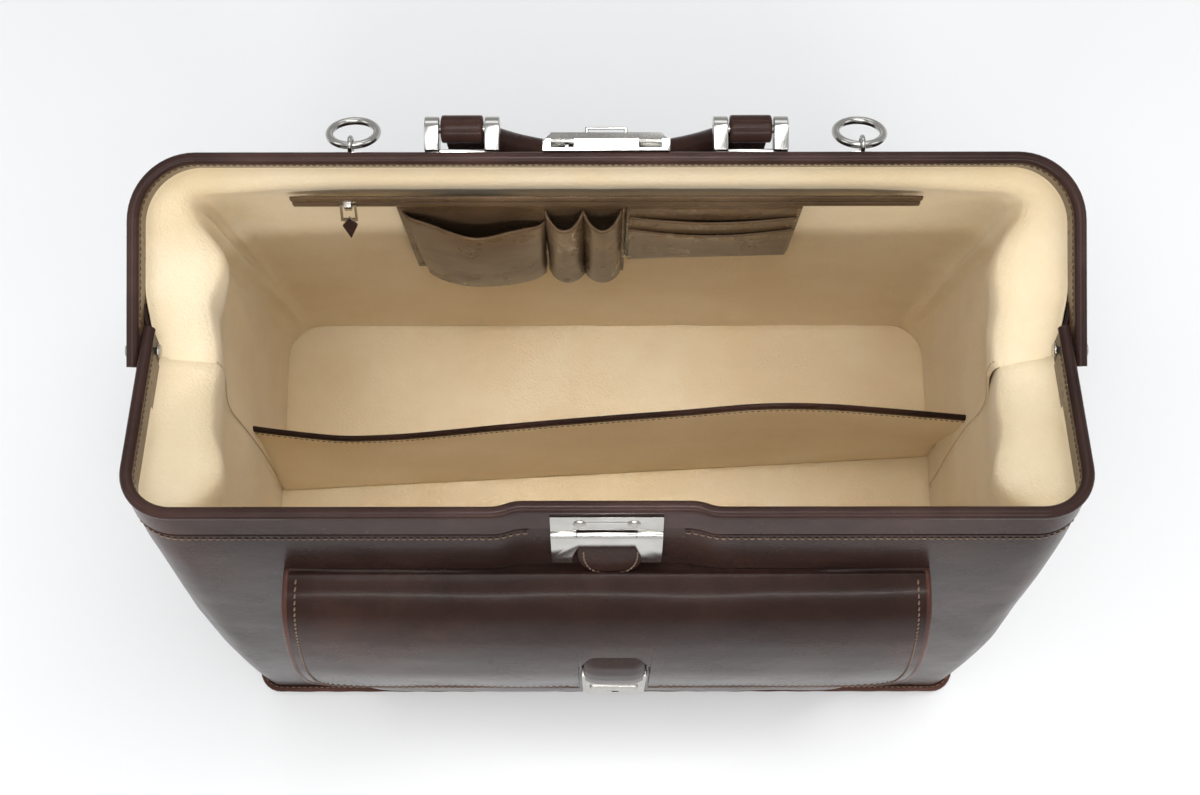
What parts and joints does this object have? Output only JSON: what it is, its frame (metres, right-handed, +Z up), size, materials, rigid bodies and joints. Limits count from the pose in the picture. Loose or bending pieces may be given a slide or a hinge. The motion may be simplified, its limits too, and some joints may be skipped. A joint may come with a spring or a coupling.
{
  "type": "doctor bag",
  "caption": "Leather doctor bag standing open: hinged wide-mouth frame with a hasp lock, top handle, flap pocket and lined interior with an organiser.",
  "frame": {"origin": "on the floor, under the middle of the base", "axes": "+X to the right seen from the front, along the mouth; +Y to the rear; +Z up"},
  "size_m": [0.4636, 0.2657, 0.3497],
  "materials": {
    "leather_brown": "polished",
    "leather_band": "polished",
    "leather_dark": "satin",
    "lining_beige": "matt, fine grain",
    "nickel_polished": "polished",
    "nickel_satin": "satin",
    "zip_brass": "satin",
    "frame_steel": "plain",
    "board_grey": "plain",
    "core_rope": "twisted cord"
  },
  "bodies": {
    "bag": {"base_studs": "nickel_polished", "base_leather": "leather_brown", "base_board": "board_grey", "base_lining": "lining_beige", "base_welt": "leather_brown", "front_panel": "leather_brown", "rear_panel": "leather_brown", "left_gusset_front": "leather_brown", "right_gusset_front": "leather_brown", "left_gusset_rear": "leather_brown", "right_gusset_rear": "leather_brown", "front_lining": "lining_beige", "rear_lining": "lining_beige", "divider": "lining_beige", "divider_binding": "leather_dark", "zip_strip": "leather_dark", "zip_chain": "zip_brass", "phone_pocket": "leather_dark", "pen_loops": "leather_dark", "card_pocket": "leather_dark", "pocket_body": "leather_brown", "clasp_case": "nickel_satin", "lock_tab": "leather_brown", "hinge_rivet_left": "nickel_satin", "hinge_rivet_right": "nickel_satin"},
    "front_frame": {"front_strip": "frame_steel", "front_leather": "leather_band", "lock_plate": "nickel_polished", "plate_rivets": "nickel_satin", "hasp_pin": "nickel_satin"},
    "rear_frame": {"rear_strip": "frame_steel", "rear_leather": "leather_band", "lock_case": "nickel_satin", "handle_bracket_left": "nickel_polished", "handle_bracket_right": "nickel_polished", "bracket_pins": "nickel_satin", "ring_staple_left": "nickel_polished", "ring_staple_right": "nickel_polished"},
    "hasp": {"lock_hasp": "nickel_polished"},
    "lock_catch": {"bolt_bar": "nickel_satin", "lock_bail": "nickel_polished"},
    "handle": {"handle_leather": "leather_brown", "handle_core": "core_rope"},
    "strap_ring_left": {"ring_left": "nickel_polished"},
    "strap_ring_right": {"ring_right": "nickel_polished"},
    "flap": {"pocket_flap": "leather_brown", "clasp_tongue": "leather_brown"},
    "clasp_bar": {"clasp_button": "nickel_satin"},
    "clasp_key": {"key_barrel": "nickel_satin"},
    "slider": {"zip_slider": "nickel_satin"},
    "puller": {"zip_pull": "leather_dark"}
  },
  "joints": [
    {"name": "mouth_front", "type": "hinge", "parent": "bag", "child": "front_frame", "pos_m": [0, 0.0039, 0.3135], "axis": [-1, 0, 0], "range_deg": [0, 67.2]},
    {"name": "mouth_rear", "type": "hinge", "parent": "bag", "child": "rear_frame", "pos_m": [0, 0.0039, 0.3135], "axis": [1, 0, 0], "range_deg": [0, 67.2]},
    {"name": "hasp_turn", "type": "hinge", "parent": "front_frame", "child": "hasp", "pos_m": [0, -0.08893, 0.32638], "axis": [-1, 0, 0], "range_deg": [0, 168]},
    {"name": "lock_catch_slide", "type": "slide", "parent": "rear_frame", "child": "lock_catch", "axis": [1, 0, 0], "range_m": [0, 0.0034], "stiffness_N_per_m": 400},
    {"name": "handle_swing", "type": "hinge", "parent": "rear_frame", "child": "handle", "pos_m": [0, 0.10679, 0.34287], "axis": [1, 0, 0], "range_deg": [0, 110]},
    {"name": "ring_left_swing", "type": "hinge", "parent": "rear_frame", "child": "strap_ring_left", "pos_m": [-0.1235, 0.09928, 0.34078], "axis": [1, 0, 0], "range_deg": [0, 100]},
    {"name": "ring_right_swing", "type": "hinge", "parent": "rear_frame", "child": "strap_ring_right", "pos_m": [0.1235, 0.09928, 0.34078], "axis": [1, 0, 0], "range_deg": [0, 100]},
    {"name": "flap_lift", "type": "hinge", "parent": "bag", "child": "flap", "pos_m": [0, -0.0946, 0.2864], "axis": [-1, 0, 0], "range_deg": [0, 110]},
    {"name": "clasp_press", "type": "slide", "parent": "bag", "child": "clasp_bar", "axis": [0, 1, 0], "range_m": [0, 0.0015], "stiffness_N_per_m": 600},
    {"name": "clasp_key_turn", "type": "hinge", "parent": "bag", "child": "clasp_key", "pos_m": [0.004, -0.1395, 0.136], "axis": [0, 1, 0], "range_deg": [0, 90]},
    {"name": "zip_run", "type": "slide", "parent": "bag", "child": "slider", "axis": [1, 0, 0], "range_m": [0, 0.278]},
    {"name": "zip_pull_swing", "type": "hinge", "parent": "slider", "child": "puller", "pos_m": [-0.1325, 0.09113, 0.2847], "axis": [-1, 0, 0], "range_deg": [0, 110]}
  ],
  "couplings": [
    {"joint": "mouth_rear", "follows": "mouth_front", "ratio": 1}
  ]
}
